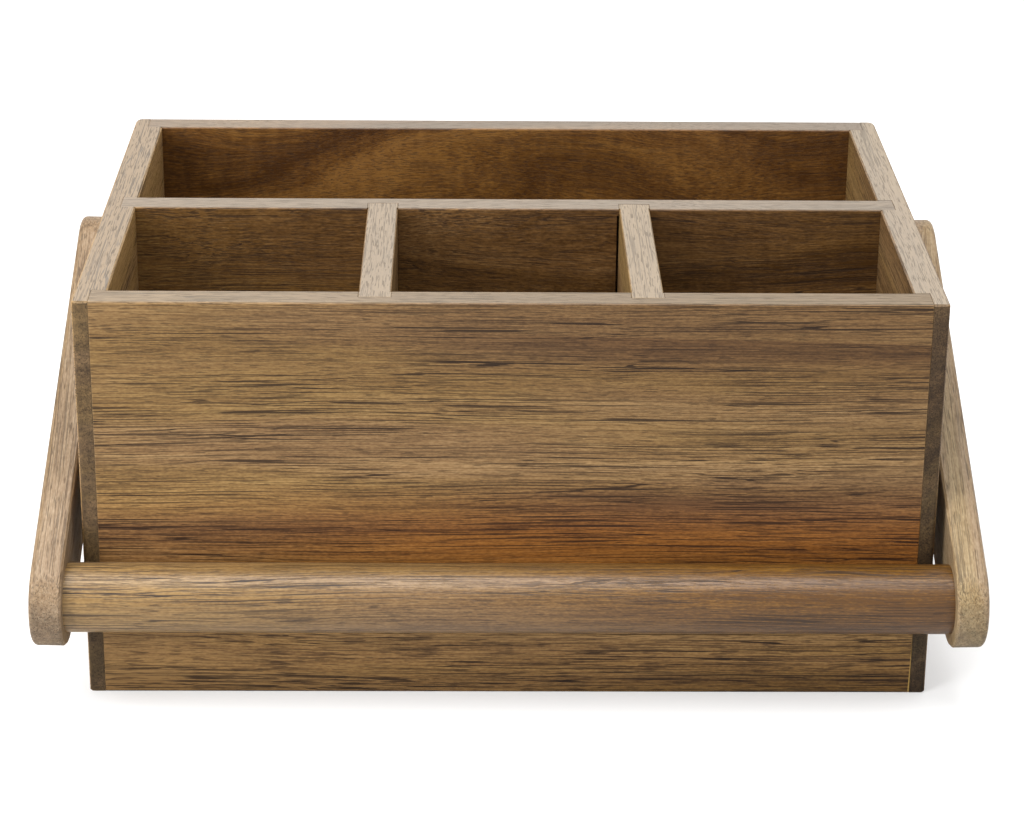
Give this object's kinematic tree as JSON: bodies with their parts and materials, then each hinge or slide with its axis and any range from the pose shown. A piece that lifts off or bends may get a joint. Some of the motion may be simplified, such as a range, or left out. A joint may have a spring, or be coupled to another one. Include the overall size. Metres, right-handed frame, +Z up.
{
  "type": "utensil caddy",
  "caption": "Wooden utensil caddy with divided open compartments, a low drawer under them and a carrying handle that folds down over the front.",
  "frame": {"origin": "middle of the underside, halfway along the width and the depth of the box", "axes": "+X to the right along the front, +Y to the back where the drawer opens, +Z up; the handle is folded down over the front board"},
  "size_m": [0.3534, 0.2517, 0.16],
  "materials": {
    "acacia_front": "oiled satin",
    "acacia_back": "oiled satin",
    "acacia_side": "oiled satin",
    "acacia_divider": "oiled satin",
    "acacia_floor": "oiled satin",
    "acacia_runner": "bare, waxed",
    "acacia_drawer": "oiled satin",
    "acacia_handle": "oiled satin",
    "zinc_steel": "zinc plated",
    "nylon": "matte"
  },
  "bodies": {
    "box": {"front_board": "acacia_front", "back_board": "acacia_back", "left_side": "acacia_side", "right_side": "acacia_side", "long_divider": "acacia_divider", "left_divider": "acacia_divider", "right_divider": "acacia_divider", "compartment_floor": "acacia_floor", "base_board": "acacia_floor", "left_runner": "acacia_runner", "right_runner": "acacia_runner", "drawer_stop": "acacia_runner", "pivot_bolts": "zinc_steel", "sleeve_nuts": "zinc_steel", "spacer_washers": "nylon"},
    "drawer": {"drawer_front": "acacia_back", "drawer_left_side": "acacia_drawer", "drawer_right_side": "acacia_drawer", "drawer_rear_board": "acacia_drawer", "drawer_bottom": "acacia_drawer"},
    "handle": {"left_arm": "acacia_handle", "right_arm": "acacia_handle", "handle_bar": "acacia_handle", "bar_screws": "zinc_steel"}
  },
  "joints": [
    {"name": "handle_swing", "type": "hinge", "parent": "box", "child": "handle", "pos_m": [0, 0.016, 0.129], "axis": [-1, 0, 0], "range_deg": [0, 232]},
    {"name": "drawer_slide", "type": "slide", "parent": "box", "child": "drawer", "axis": [0, 1, 0], "range_m": [0, 0.1367]}
  ]
}
